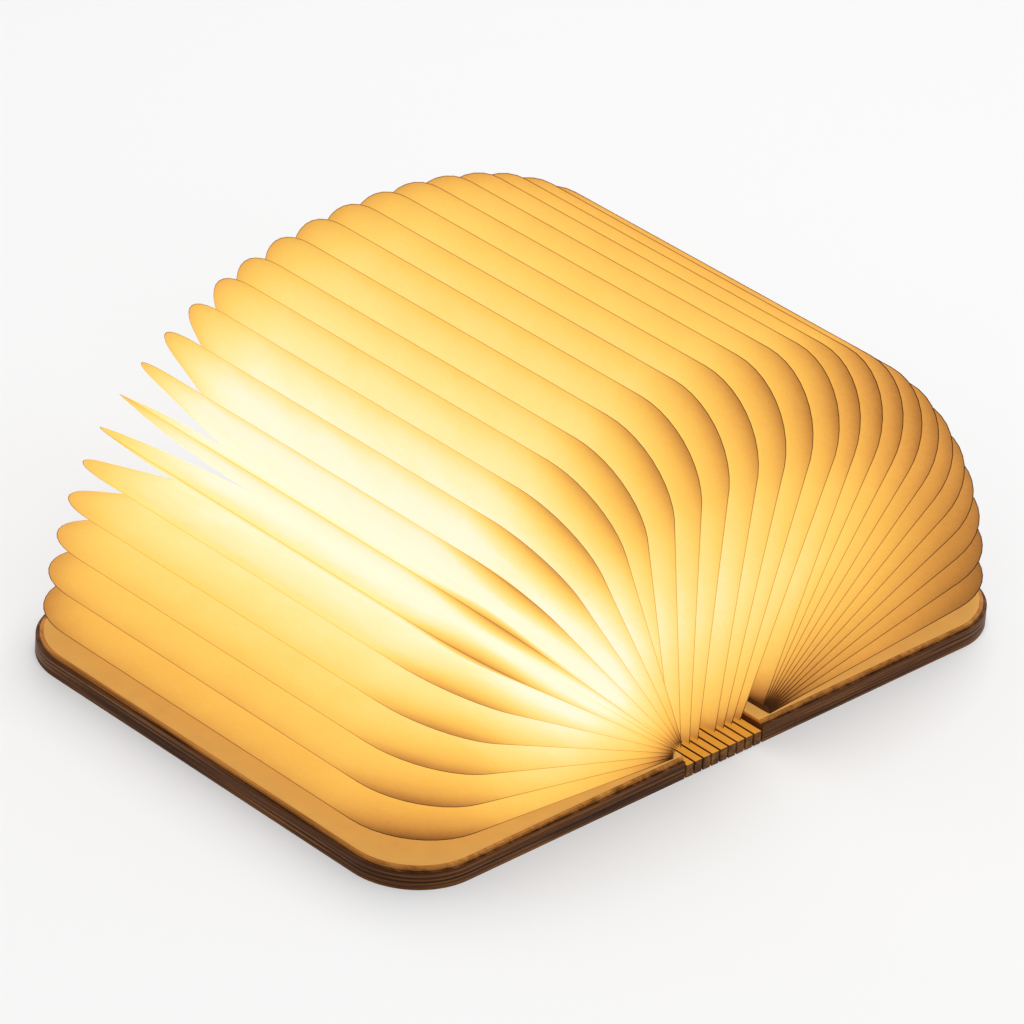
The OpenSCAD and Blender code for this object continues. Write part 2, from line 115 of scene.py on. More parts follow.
class Graph:
    """A thin wrapper that adds and joins nodes in one node tree.

    A Mix node has sockets for every kind of value, and these are the numbers of its colours.
    """

    MIX_FIRST, MIX_SECOND, MIX_RESULT = 6, 7, 2

    def __init__(self, tree: bpy.types.NodeTree) -> None:
        """Keep the tree that nodes are added to."""
        self.tree = tree

    def fill(self, node: bpy.types.Node, inputs: dict) -> None:
        """Set a node's sockets, or join them to other nodes.

        Args:
            node: The node.
            inputs: Socket names or indices with a value or an output socket to join.
        """
        for key, value in inputs.items():
            if isinstance(value, Socket):
                self.tree.links.new(value, node.inputs[key])
            else:
                node.inputs[key].default_value = value

    def add(self, kind: str, inputs: dict | None = None, **settings: object) -> bpy.types.Node:
        """Add a node and fill its sockets.

        Args:
            kind: Blender's name for the node type.
            inputs: Socket names or indices with a value or an output socket to join.
            **settings: Properties of the node.

        Returns:
            The new node.
        """
        node = self.tree.nodes.new(kind)
        for name, value in settings.items():
            setattr(node, name, value)
        self.fill(node, inputs or {})
        return node

    def math(self, operation: str, *terms: object, clamp: bool = False) -> Socket:
        """Add a Math node.

        Args:
            operation: Blender's name for the operation.
            *terms: Its numbers and sockets, in order.
            clamp: Whether the result is kept between 0 and 1.

        Returns:
            The node's output.
        """
        node = self.add("ShaderNodeMath", dict(enumerate(terms)), operation=operation,
                        use_clamp=clamp)
        return node.outputs[0]

    def z_of(self, vector: Socket) -> Socket:
        """Take the Z part of a vector."""
        return self.add("ShaderNodeSeparateXYZ", {0: vector}).outputs["Z"]

    def remap(self, value: Socket, source: tuple[float, float], target: tuple[float, float],
              shape: str = "LINEAR") -> Socket:
        """Map one range of a value to another, and hold it beyond the ends.

        Args:
            value: The socket with the value.
            source: The range's ends.
            target: What they are mapped to.
            shape: Blender's name for the curve between them.

        Returns:
            The mapped value's socket.
        """
        terms = dict(enumerate((value, *source, *target)))
        return self.add("ShaderNodeMapRange", terms, interpolation_type=shape).outputs[0]

    def ramp(self, value: Socket, stops: tuple[tuple[float, Colour], ...]) -> Socket:
        """Run a value through a colour ramp.

        Args:
            value: The socket that drives the ramp.
            stops: Positions with their colours.

        Returns:
            The ramp's colour output.
        """
        node = self.add("ShaderNodeValToRGB", {0: value})
        elements = node.color_ramp.elements
        elements[0].position, elements[0].color = stops[0]
        elements[1].position, elements[1].color = stops[-1]
        for place, colour in stops[1:-1]:
            elements.new(place).color = colour
        return node.outputs[0]

    def mix(self, factor: object, first: object, second: object, blend: str = "MIX") -> Socket:
        """Mix two colours.

        Args:
            factor: The share of the second, as a number or a socket.
            first: A colour or a socket.
            second: A colour or a socket.
            blend: Blender's name for the way of mixing.

        Returns:
            The result's socket.
        """
        terms = {0: factor, self.MIX_FIRST: first, self.MIX_SECOND: second}
        node = self.add("ShaderNodeMix", terms, data_type="RGBA", blend_type=blend)
        return node.outputs[self.MIX_RESULT]

    def uneven(self, pattern: Socket, middle: float, spread: float) -> Socket:
        """Spread a value around its middle by a pattern that runs from 0 to 1."""
        return self.math("MULTIPLY_ADD", pattern, spread, middle - spread / 2)

    def bump(self, height: Socket, strength: float, depth: float) -> Socket:
        """Bump a surface by a height, as deep as a depth in metres."""
        terms = {"Strength": strength, "Distance": depth, "Height": height}
        return self.add("ShaderNodeBump", terms).outputs[0]


@dataclass(frozen=True)
class Noise:
    """A noise pattern, with its density along each axis."""

    density: Point
    detail: float
    roughness: float
    distortion: float = 0.0

    def lay(self, g: Graph, scale: Socket) -> Socket:
        """Lay the pattern over an object.

        Args:
            g: The graph to add it to.
            scale: The socket with its scale.

        Returns:
            The pattern's value, from 0 to 1.
        """
        place = g.add("ShaderNodeTexCoord").outputs["Object"]
        place = g.add("ShaderNodeMapping", {0: place, "Scale": self.density}).outputs[0]
        return g.add("ShaderNodeTexNoise", {
            "Vector": place, "Scale": scale, "Detail": self.detail,
            "Roughness": self.roughness, "Distortion": self.distortion}).outputs[0]


STREAKS = Noise((260, 16, 420), detail=6.0, roughness=0.6, distortion=0.5)
PORES = Noise((1900, 90, 2400), detail=3.0, roughness=0.7)
LAYERS = Noise((14, 14, 1500), detail=4.0, roughness=0.6)
CLOUDS = Noise((1, 1, 1), detail=3.0, roughness=0.55)
FIBRES = Noise((1, 0.35, 1), detail=4.0, roughness=0.7, distortion=1.2)
PORE_GAIN, PORE_SHIFT = 5.0, -2.6


def new_group(name: str, inputs: dict[str, float],
              outputs: list[str]) -> tuple[Graph, bpy.types.Node, bpy.types.Node]:
    """Start a shader node group with float inputs and outputs.

    Args:
        name: The group's name.
        inputs: Input names with their default values.
        outputs: Output names.

    Returns:
        A graph over the group, its input node and its output node.
    """
    group = bpy.data.node_groups.new(name, "ShaderNodeTree")
    kind = "NodeSocketFloat"
    for label, value in inputs.items():
        socket = group.interface.new_socket(name=label, in_out="INPUT", socket_type=kind)
        socket.default_value = value
    for label in outputs:
        group.interface.new_socket(name=label, in_out="OUTPUT", socket_type=kind)
    graph = Graph(group)
    return graph, graph.add("NodeGroupInput"), graph.add("NodeGroupOutput")


def grain_group() -> bpy.types.NodeTree:
    """Build the wood grain effect: streaks along the spine, short dark pores and level layers.

    Returns:
        The group, whose outputs are Streak, Pore and Layer.
    """
    g, start, end = new_group("wood_grain", {"Scale": 1.0, "Contrast": 1.0},
                              ["Streak", "Pore", "Layer"])
    scale, contrast = start.outputs["Scale"], start.outputs["Contrast"]
    centred = g.math("SUBTRACT", STREAKS.lay(g, scale), 0.5)
    pore = PORES.lay(g, scale)
    g.fill(end, {
        "Streak": g.math("MULTIPLY_ADD", centred, contrast, 0.5, clamp=True),
        "Pore": g.math("MULTIPLY_ADD", pore, PORE_GAIN, PORE_SHIFT, clamp=True),
        "Layer": LAYERS.lay(g, scale),
    })
    return g.tree


def fibre_group() -> bpy.types.NodeTree:
    """Build the paper effect, with cloudy density and fine crossed fibres.

    Returns:
        The group, whose outputs are Cloud and Fibre.
    """
    g, start, end = new_group("paper_fibre", {"Cloud Size": 60.0, "Fibre Size": 900.0},
                              ["Cloud", "Fibre"])
    g.fill(end, {
        "Cloud": CLOUDS.lay(g, start.outputs["Cloud Size"]),
        "Fibre": FIBRES.lay(g, start.outputs["Fibre Size"]),
    })
    return g.tree


@dataclass(frozen=True)
class Effects:
    """The shared node groups, each built once."""

    grain: bpy.types.NodeTree = field(default_factory=grain_group)
    fibre: bpy.types.NodeTree = field(default_factory=fibre_group)


def new_material(name: str) -> tuple[bpy.types.Material, Graph, bpy.types.Node]:
    """Start a material that holds a single Principled BSDF.

    Args:
        name: The material's name.

    Returns:
        The material, its graph and its shader node.
    """
    material = bpy.data.materials.new(name)
    material.use_nodes = True
    return material, Graph(material.node_tree), material.node_tree.nodes["Principled BSDF"]


def seen_plainly(g: Graph) -> Socket:
    """Build a mask of what the camera sees, also by way of metal and glass.

    Args:
        g: The graph to add it to.

    Returns:
        The mask's socket.
    """
    rays = g.add("ShaderNodeLightPath").outputs
    seen = g.math("MAXIMUM", rays["Is Camera Ray"], rays["Is Glossy Ray"])
    return g.math("MAXIMUM", seen, rays["Is Transmission Ray"])


# --------------------------------------------------------------------------- finishes


@dataclass(frozen=True)
class LitPaper:
    """Translucent paper lit from behind, brighter the deeper in the fan it lies.

    Its colours run from unlit brown to the hot middle. The seam is the dark line along a
    pocket's outline, in millimetres.
    """

    name: str = "lit_paper"
    stops: tuple[tuple[float, Colour], ...] = (
        (0.00, srgb(52, 26, 10)), (0.14, srgb(118, 70, 28)), (0.32, srgb(188, 128, 60)),
        (0.47, srgb(226, 164, 78)), (0.60, srgb(245, 190, 90)), (0.74, srgb(253, 211, 108)),
        (0.86, srgb(253, 226, 144)), (0.94, srgb(252, 236, 180)), (1.00, srgb(252, 243, 218)),
    )
    base_share: float = 0.30
    glow_strength: float = 0.785
    roughness: float = 0.85
    specular: float = 0.15
    cloud: float = 0.07
    cloud_size: float = 55.0
    fibre: float = 0.10
    fibre_size: float = 950.0
    seam: tuple[float, float] = (0.15, 0.42)
    seam_shade: float = 0.32
    bump: float = 0.12
    bump_depth: float = 0.0002

    def build(self, effects: Effects) -> bpy.types.Material:
        """Make the material.

        Args:
            effects: The shared node groups.

        Returns:
            The paper's material.
        """
        material, g, shader = new_material(self.name)
        glow = g.add("ShaderNodeAttribute", attribute_name="glow").outputs["Fac"]
        edge = g.add("ShaderNodeAttribute", attribute_name="edge").outputs["Fac"]
        sizes = {"Cloud Size": self.cloud_size, "Fibre Size": self.fibre_size}
        paper = g.add("ShaderNodeGroup", sizes, node_tree=effects.fibre).outputs
        cloud = g.math("SUBTRACT", paper["Cloud"], 0.5)
        fibre = g.math("SUBTRACT", paper["Fibre"], 0.5)
        lively = g.math("MULTIPLY_ADD", cloud, self.cloud, glow)
        lively = g.math("MULTIPLY_ADD", fibre, self.fibre, lively)
        seam = g.remap(edge, self.seam, (self.seam_shade, 0.0), "SMOOTHSTEP")
        colour = g.ramp(g.math("SUBTRACT", lively, seam, clamp=True), self.stops)
        g.fill(shader, {
            "Base Color": g.mix(1.0, colour, grey(self.base_share), "MULTIPLY"),
            "Emission Color": colour,
            "Emission Strength": self.glow_strength,
            "Roughness": self.roughness,
            "Specular IOR Level": self.specular,
            "Normal": g.bump(paper["Fibre"], self.bump, self.bump_depth),
        })
        return material


@dataclass(frozen=True)
class Walnut:
    """Oiled walnut, as solid slats or as a plywood board with its layers showing at the edge.

    A board has its number of plies and its thickness in millimetres. A lit top is the colour
    that faces turned upwards take from the lit paper above them.
    """

    name: str
    dark: Colour = srgb(46, 22, 7)
    mid: Colour = srgb(92, 53, 22)
    light: Colour = srgb(146, 96, 48)
    stops: tuple[float, float, float] = (0.12, 0.5, 0.88)
    contrast: float = 1.9
    pore_share: float = 0.55
    plies: int = 0
    thickness: float = 7.0
    ply_share: float = 0.14
    layer_gain: float = 2.6
    layer_shift: float = -0.85
    lit_top: Colour | None = None
    lit_strength: float = 0.0
    lit_slope: tuple[float, float] = (0.5, 0.95)
    lit_grain: float = 0.45
    roughness: float = 0.5
    gloss_spread: float = 0.2
    specular: float = 0.14
    bump: float = 0.25
    bump_depth: float = 0.0003

    def show_plies(self, g: Graph, streak: Socket, layer: Socket, up: Socket) -> Socket:
        """Let plies and level layers take the place of streaks where a face stands upright.

        Args:
            g: The material's graph.
            streak: The streaks' socket.
            layer: The layers' socket.
            up: The socket with how far a face is turned upwards.

        Returns:
            The socket with the wood's level, from dark to light.
        """
        height = g.z_of(g.add("ShaderNodeTexCoord").outputs["Object"])
        ply = g.math("MULTIPLY", height, self.plies / (self.thickness * MM))
        wave = g.math("SINE", g.math("MULTIPLY", ply, math.tau))
        side = g.math("SUBTRACT", 1.0, g.math("ABSOLUTE", up), clamp=True)
        level = g.math("MULTIPLY", streak, g.math("SUBTRACT", 1.0, side))
        band = g.math("MULTIPLY_ADD", layer, self.layer_gain, self.layer_shift)
        band = g.math("MULTIPLY", g.math("MULTIPLY_ADD", wave, self.ply_share, band), side)
        return g.math("ADD", level, band, clamp=True)

    def build(self, effects: Effects) -> bpy.types.Material:
        """Make the material.

        Args:
            effects: The shared node groups.

        Returns:
            The wood's material.
        """
        material, g, shader = new_material(self.name)
        sizes = {"Scale": 1.0, "Contrast": self.contrast}
        grain = g.add("ShaderNodeGroup", sizes, node_tree=effects.grain).outputs
        streak = level = grain["Streak"]
        up = g.z_of(g.add("ShaderNodeNewGeometry").outputs["Normal"])
        if self.plies:
            level = self.show_plies(g, streak, grain["Layer"], up)
        colour = g.ramp(level, tuple(zip(self.stops, (self.dark, self.mid, self.light))))
        pores = g.math("MULTIPLY", grain["Pore"], self.pore_share)
        g.fill(shader, {
            "Base Color": g.mix(pores, colour, self.dark),
            "Roughness": g.uneven(streak, self.roughness, self.gloss_spread),
            "Specular IOR Level": self.specular,
            "Normal": g.bump(streak, self.bump, self.bump_depth),
        })
        if self.lit_top is not None:
            face = g.remap(up, self.lit_slope, (0.0, 1.0))
            warm = g.mix(g.math("MULTIPLY", level, self.lit_grain), self.lit_top, self.mid)
            g.fill(shader, {"Emission Color": g.mix(face, grey(0.0), warm),
                            "Emission Strength": self.lit_strength})
        return material


@dataclass(frozen=True)
class Flecked:
    """A plain moulded, coated or woven surface with fine variation in colour and gloss.

    Shade is the share of its colour that it reflects, and glow the strength that it gives off.
    """

    name: str
    colour: Colour
    roughness: float = 0.5
    gloss_spread: float = 0.2
    metallic: float = 0.0
    fleck: float = 0.12
    size: float = 900.0
    cloud_width: float = 8.0
    bump: float = 0.1
    bump_depth: float = 0.0002
    glow: float = 0.0
    shade: float = 1.0

    def build(self, effects: Effects) -> bpy.types.Material:
        """Make the material.

        Args:
            effects: The shared node groups.

        Returns:
            The surface's material.
        """
        material, g, shader = new_material(self.name)
        sizes = {"Cloud Size": self.size / self.cloud_width, "Fibre Size": self.size}
        pattern = g.add("ShaderNodeGroup", sizes, node_tree=effects.fibre).outputs
        darker = tuple(c * (1 - 2 * self.fleck) for c in self.colour[:3]) + (1.0,)
        lighter = tuple(min(1.0, c * (1 + self.fleck)) for c in self.colour[:3]) + (1.0,)
        colour = g.mix(pattern["Cloud"], darker, lighter)
        g.fill(shader, {
            "Base Color": g.mix(1.0, colour, grey(self.shade), "MULTIPLY"),
            "Roughness": g.uneven(pattern["Fibre"], self.roughness, self.gloss_spread),
            "Metallic": self.metallic,
            "Normal": g.bump(pattern["Fibre"], self.bump, self.bump_depth),
        })
        if self.glow > 0:
            g.fill(shader, {"Emission Color": colour, "Emission Strength": self.glow})
        return material


# --------------------------------------------------------------------------- mesh tools


def mesh_object(name: str, points: list[Point], faces: list[tuple[int, ...]],
                material: bpy.types.Material, smooth: bool = True) -> bpy.types.Object:
    """Make an object from points in millimetres.

    Args:
        name: The object's name.
        points: Its points, in millimetres, in the row frame.
        faces: Its faces.
        material: Its material.
        smooth: Whether its faces are shaded smooth.

    Returns:
        The new object, linked to the scene.
    """
    mesh = bpy.data.meshes.new(name)
    mesh.from_pydata([(x * MM, y * MM, z * MM) for x, y, z in points], [], faces)
    mesh.materials.append(material)
    mesh.polygons.foreach_set("use_smooth", [smooth] * len(mesh.polygons))
    mesh.update()
    thing = bpy.data.objects.new(name, mesh)
    bpy.context.scene.collection.objects.link(thing)
    LOG.info("built %s", name)
    return thing


def set_values(thing: bpy.types.Object, name: str, values: list[float]) -> None:
    """Store one number per point on an object's mesh."""
    attribute = thing.data.attributes.new(name, "FLOAT", "POINT")
    attribute.data.foreach_set("value", values)


def dress(node: str, material: bpy.types.Material) -> None:
    """Give a CAD node its material.

    Args:
        node: The node's name.
        material: The material.
    """
    thing = bpy.data.objects[node]
    thing.data.materials.clear()
    thing.data.materials.append(material)
    LOG.info("dressed %s", node)


# --------------------------------------------------------------------------- sizes


@dataclass(frozen=True)
class Cover:
    """A cover's sizes, in millimetres, and the height of the endpaper's upper face."""

    wid: float = 132.0
    length: float = 216.0
    th: float = 7.0
    endpaper_top: float = 9.0


@dataclass(frozen=True)
class Spine:
    """The row of slats between the covers, in millimetres."""

    slat_count: int = 9
    slat_pitch: float = 4.2
    slat_gap: float = 0.9
    slat_th: float = 5.2

    @property
    def wid(self) -> float:
        """The width between the covers."""
        return self.slat_count * self.slat_pitch + self.slat_gap

    @property
    def hinge_z(self) -> float:
        """The height of the hinges, half way up the slats."""
        return self.slat_th / 2

    def slat_x(self, k: int) -> float:
        """Find the middle of slat k, counted from the left."""
        return -self.wid / 2 + (self.slat_pitch + self.slat_gap) / 2 + (k - 1) * self.slat_pitch

    def hinge_x(self, k: int) -> float:
        """Find where hinge k lies, counted from the left."""
        return -self.wid / 2 + self.slat_gap / 2 + self.slat_pitch * (k - 1)

    def body(self, k: int) -> str:
        """Name body k of the row: 0 is the left cover, then come slats and the right cover."""
        inner = "right_cover" if k > self.slat_count else f"slat_{k}"
        return inner if k > 0 else "left_cover"


# --------------------------------------------------------------------------- the paper


@dataclass(frozen=True)
class LeafLayout:
    """Where each leaf of the left half stands, in millimetres and degrees.

    Leaves are counted from their own cover. The first ones are stacked on it, and the others
    start from the slats, one from each. Directions are measured up from the right-hand cover.
    """

    cover: Cover = Cover()
    spine: Spine = Spine()
    leaves: int = 30
    stacked: int = 11
    side_inset: float = 0.5
    end_inset: float = 1.5
    stack_pitch: float = 0.43
    stack_back: float = 2.5
    first_gap: float = 0.3
    first_angle: float = 4.6
    root_lift: float = 0.5

    @property
    def half(self) -> int:
        """The number of leaves on each side of the spine's middle."""
        return self.leaves // 2

    @property
    def leaf_wid(self) -> float:
        """The first leaf's width."""
        return self.cover.wid - self.stack_back - self.side_inset

    @property
    def leaf_len(self) -> float:
        """A leaf's length along the spine."""
        return self.cover.length - 2 * self.end_inset

    def number(self, i: int, half: Half) -> int:
        """Number leaf i of a half as the nodes are numbered, from the left."""
        return i if half is Half.LEFT else self.leaves + 1 - i

    def slat_root(self, i: int) -> float:
        """Find the x of the slat that leaf i, beyond the stack, starts from."""
        return self.spine.slat_x(min(i - self.stacked, self.spine.slat_count // 2))

    def root_gaps(self, n: int) -> float:
        """Add up the gaps between the roots of the first leaves.

        Args:
            n: How many gaps.

        Returns:
            Their sum.
        """
        if n < self.stacked:
            return n * self.stack_pitch
        stack = (self.stacked - 1) * self.stack_pitch
        return stack + self.spine.slat_pitch / 2 + (n - self.stacked) * self.spine.slat_pitch

    def angle(self, i: int) -> float:
        """Find a leaf's direction, which spaces the open fan's outer edges evenly.

        Args:
            i: The leaf, which may lie on the right half.

        Returns:
            The direction in degrees.
        """
        if i > self.half:
            return 180 - self.angle(self.leaves + 1 - i)
        radius = self.leaf_wid + self.spine.slat_th
        middle = -2 * self.slat_root(self.half)
        arc = radius * math.radians(180 - 2 * self.first_angle)
        gap = (arc + 2 * self.root_gaps(self.half - 1) + middle) / (self.leaves - 1)
        turned = (gap * (i - 1) - self.root_gaps(i - 1)) / radius
        return 180 - self.first_angle - math.degrees(turned)

    def along(self, *leaves: int) -> tuple[float, float]:
        """The unit vector along a leaf, or half way between two, as x and z."""
        a = math.radians(sum(self.angle(i) for i in leaves) / len(leaves))
        return math.cos(a), math.sin(a)

    def across(self, *leaves: int) -> tuple[float, float]:
        """The unit vector square to a leaf, or half way between two, towards the middle."""
        x, z = self.along(*leaves)
        return z, -x

    def root(self, i: int) -> tuple[float, float]:
        """Find where a leaf starts.

        Args:
            i: The leaf, which may lie on the right half.

        Returns:
            The root's x and z.
        """
        if i > self.half:
            x, z = self.root(self.leaves + 1 - i)
            return -x, z
        if i > self.stacked:
            return self.slat_root(i), self.spine.slat_th + self.root_lift
        x, z = -self.spine.wid / 2 - self.stack_back, self.cover.endpaper_top + self.first_gap
        for k in range(2, i + 1):
            sx, sz = self.across(k - 1, k)
            x, z = x + self.stack_pitch * sx, z + self.stack_pitch * sz
        return x, z

    def reach(self, i: int) -> float:
        """Find a leaf's width, which brings all outer edges in line when the book is shut.

        Args:
            i: The leaf.

        Returns:
            The width.
        """
        total = self.leaf_wid
        for k in range(2, i + 1):
            (x1, z1), (x2, z2) = self.root(k - 1), self.root(k)
            dx, dz = self.along(k - 1, k)
            total -= (x2 - x1) * dx + (z2 - z1) * dz
        return total

    def wedge(self, i: int, face: Face) -> tuple[float, float]:
        """Find the wedge of space on one side of a leaf, up to half way to its neighbour.

        Args:
            i: The leaf.
            face: The side.

        Returns:
            How far behind the leaf's root the wedge has its tip, and its slope.
        """
        if face is Face.OUTER and i == 1:
            slope = math.tan(math.radians(self.first_angle))
            return self.first_gap / slope, slope
        k = i + face.value
        (x1, z1), (x2, z2) = self.root(i), self.root(k)
        (ax, az), (bx, bz) = self.along(i), self.along(k)
        back = -((x2 - x1) * bz - (z2 - z1) * bx) / (ax * bz - az * bx)
        turn = abs(self.angle(i) - self.angle(k))
        return back, math.tan(math.radians(turn / 2))


@dataclass(frozen=True)
class Span:
    """A stretch of a measure over which something sets in gradually."""

    low: float
    high: float

    def ease(self, value: float) -> float:
        """Ease from 0 at the low end to 1 at the high end."""
        t = min(1.0, max(0.0, (value - self.low) / (self.high - self.low)))
        return t * t * (3 - 2 * t)


@dataclass(frozen=True)
class SpineLight:
    """How brightly the strip on the spine lights a pocket, as levels from 0 to 1.

    Each change has its size, and in millimetres the place or depth over which it comes. Tones
    are what a leaf gains or loses by its direction in degrees. The patch lies on a pocket's
    ends, part of the way out. The shaded corners are the outer ones, the front one by more the
    steeper its leaf stands. The shaded root is where the leaves crowd together.
    """

    outline: float = 0.60
    rises: tuple[tuple[float, float], ...] = ((0.12, 5.0), (0.09, 22.0))
    tones: tuple[tuple[float, float], ...] = (
        (0.0, -0.36), (14.0, -0.30), (35.0, -0.18), (60.0, -0.06), (88.0, 0.05), (110.0, 0.14),
        (132.0, 0.28), (150.0, 0.17), (163.0, 0.02), (171.0, -0.08), (180.0, -0.18))
    tone_loss: float = 0.5
    tone_fade: Span = Span(55.0, 106.5)
    patch: float = 0.17
    patch_place: float = 52.0
    patch_spread: float = 34.0
    patch_ends: Span = Span(60.0, 98.0)
    corner_out: Span = Span(-50.0, -14.0)
    corner_ends: Span = Span(58.0, 97.0)
    corner_back: float = 0.14
    corner_front: float = 0.08
    corner_steep: float = 0.24
    steep: Span = Span(14.0, 70.0)
    corner_depth: float = 13.0
    root_start: float = 1.0
    root_stacked: tuple[float, float] = (0.72, 7.0)
    root_single: tuple[float, float] = (0.34, 6.0)
    least: float = 0.03

    def tone(self, degrees: float) -> float:
        """Find how much brighter than usual a leaf is for its direction.

        Args:
            degrees: The direction.

        Returns:
            The gain, below 0 for a darker leaf.
        """
        for (a, low), (b, high) in zip(self.tones, self.tones[1:]):
            if degrees <= b:
                return low + (high - low) * (degrees - a) / (b - a)
        return self.tones[-1][1]

    def level(self, place: Point, reach: float, degrees: float, stacked: bool) -> float:
        """Find how brightly a point of a sheet is lit.

        Args:
            place: Distance from the root along the leaf, distance from the leaf's middle along
                the spine, and distance in from the pocket's outline.
            reach: The leaf's width.
            degrees: Its direction.
            stacked: Whether it lies in a stack.

        Returns:
            The level.
        """
        u, v, e = place
        level = self.outline
        for gain, depth in self.rises:
            level += gain * (1 - math.exp(-e / depth))
        tone = self.tone(degrees)
        if tone > 0:
            tone *= 1 - self.tone_loss * self.tone_fade.ease(abs(v))
        level += tone
        along = math.exp(-((u - self.patch_place) / self.patch_spread) ** 2)
        level += self.patch * along * self.patch_ends.ease(abs(v))
        corner = self.corner_out.ease(u - reach) * self.corner_ends.ease(abs(v))
        front = self.corner_front + self.corner_steep * self.steep.ease(degrees)
        shade = front if v < 0 else self.corner_back
        level -= shade * corner * math.exp(-e / self.corner_depth)
        shade, depth = self.root_stacked if stacked else self.root_single
        level -= shade * math.exp(-max(0.0, u - self.root_start) / depth)
        return max(self.least, min(1.0, level))


@dataclass(frozen=True)
class Sheet:
    """One of the two sheets of a pocket, with its leaf counted from its own cover."""

    i: int
    face: Face
    half: Half


@dataclass
class PaperFan:
    """The fan of paper pockets, from the same sizes as the solids, in millimetres.

    A sheet is laid out in rings, each at its distance in from the pocket's outline, with steps
    along its ends as shares of their width. How far it stands off its leaf's plane is held by
    the room up to the next leaf, the rise from the outline and the mouth at the root.
    """

    material: bpy.types.Material
    layout: LeafLayout = LeafLayout()
    light: SpineLight = SpineLight()
    corner_r: float = 30.0
    inner_corner: float = 0.25
    stack_start: float = 2.0
    root_taper: float = 7.5
    rings: tuple[float, ...] = (0.0, 0.3, 0.75, 2.0, 4.2, 7.5, 12.0, 18.0, 26.0, 38.0, 52.0, 68.0,
                                84.0, 96.0)
    shares: tuple[float, ...] = (0.0, 0.015, 0.04, 0.08, 0.13, 0.2, 0.28, 0.37, 0.47, 0.57, 0.67,
                                 0.77, 0.86, 0.94, 1.0)
    corner_steps: int = 10
    outer_steps: int = 26
    room_share: float = 0.97
    room_spare: float = 0.03
    room_least: float = 0.2
    rise: float = 0.19
    rise_power: float = 0.92
    mouth: float = 0.3
    mouth_slope: float = 0.35
    limit_power: int = 3
    bend_wid: float = 13.0
    cover_bend_wid: float = 4.0
    sheets: list[bpy.types.Object] = field(default_factory=list, repr=False)

    def bulge(self, room: float, u: float, e: float) -> float:
        """Find how far a sheet stands off its leaf's middle plane.

        Args:
            room: The room that it has.
            u: Distance from the root along the leaf.
            e: Distance in from the pocket's outline.

        Returns:
            The distance in millimetres.
        """
        if e <= 0:
            return 0.0
        room = max(self.room_share * room - self.room_spare, self.room_least)
        rise = self.rise * e ** self.rise_power
        mouth = self.mouth + self.mouth_slope * u
        p = -self.limit_power
        return (room ** p + rise ** p + mouth ** p) ** (1 / p)

    def ring(self, i: int, e: float) -> list[Point]:
        """Lay out one ring of points round a pocket, from its front mouth to its back mouth.

        Args:
            i: The leaf.
            e: The ring's distance in from the pocket's outline.

        Returns:
            Distance from the root, distance from the leaf's middle along the spine, and
            distance in from the outline, for each point.
        """
        stacked = i <= self.layout.stacked
        u0, taper = (self.stack_start, 0.0) if stacked else (0.0, self.root_taper)
        reach, half_len = self.layout.reach(i), self.layout.leaf_len / 2
        r = max(self.corner_r - e, self.corner_r * self.inner_corner)
        cu, cv = reach - e - r, half_len - e - r
        front = [(u0 + (cu - u0) * s, taper * (1 - s) - cv - r, e) for s in self.shares]
        for j in range(1, self.corner_steps + 1):
            a = math.radians(90 * j / self.corner_steps)
            front.append((cu + r * math.sin(a), -cv - r * math.cos(a), e))
        outer = [(reach - e, cv * (2 * j / self.outer_steps - 1), e)
                 for j in range(1, self.outer_steps)]
        return front + outer + [(u, -v, d) for u, v, d in reversed(front)]

    def rows(self, i: int) -> list[list[Point]]:
        """Lay out a pocket's rings and the line along its middle that closes them.

        Args:
            i: The leaf.

        Returns:
            The rows of points, as ring() gives them.
        """
        reach, half_len = self.layout.reach(i), self.layout.leaf_len / 2
        rows = [self.ring(i, e) for e in self.rings]
        rows.append([(u, 0.0, min(half_len, reach - u)) for u, _, _ in rows[-1]])
        return rows

    def sheet_mesh(self, name: str, sheet: Sheet) -> bpy.types.Object:
        """Build one sheet of a pocket.

        Args:
            name: The sheet's name.
            sheet: Which sheet it is.

        Returns:
            The sheet.
        """
        i, mirror, flip = sheet.i, sheet.half is Half.RIGHT, -sheet.half.value
        lay = self.layout
        (rx, rz), (ax, az), (sx, sz) = lay.root(i), lay.along(i), lay.across(i)
        back, slope = lay.wedge(i, sheet.face)
        reach, stacked = lay.reach(i), i <= lay.stacked
        degrees = 180 - lay.angle(i) if mirror else lay.angle(i)
        rows = self.rows(i)
        spots = [spot for row in rows for spot in row]
        points = []
        for u, v, e in spots:
            h = sheet.face.value * self.bulge((u + back) * slope, u, e)
            points.append((flip * (rx + u * ax + h * sx), v, rz + u * az + h * sz))
        faces, n = [], len(rows[0])
        turned = (sheet.face is Face.INNER) != mirror
        for k in range(len(rows) - 1):
            for a in range(k * n, (k + 1) * n - 1):
                quad = (a, a + 1, a + 1 + n, a + n)
                faces.append(quad[::-1] if turned else quad)
        thing = mesh_object(name, points, faces, self.material)
        set_values(thing, "glow", [self.light.level(s, reach, degrees, stacked) for s in spots])
        set_values(thing, "edge", [e for _, _, e in spots])
        return thing

    def bend(self, thing: bpy.types.Object, sheet: Sheet) -> None:
        """Hang the inner sheet of the leaf next to the middle on that leaf, or bake any other
        sheet's place into its mesh.

        Args:
            thing: The sheet's object.
            sheet: Which sheet it is.
        """
        i, face, half = sheet.i, sheet.face, sheet.half

        def leaf(k: int) -> str:
            """Name leaf k's body."""
            return f"leaf_{self.layout.number(k, half):02d}"

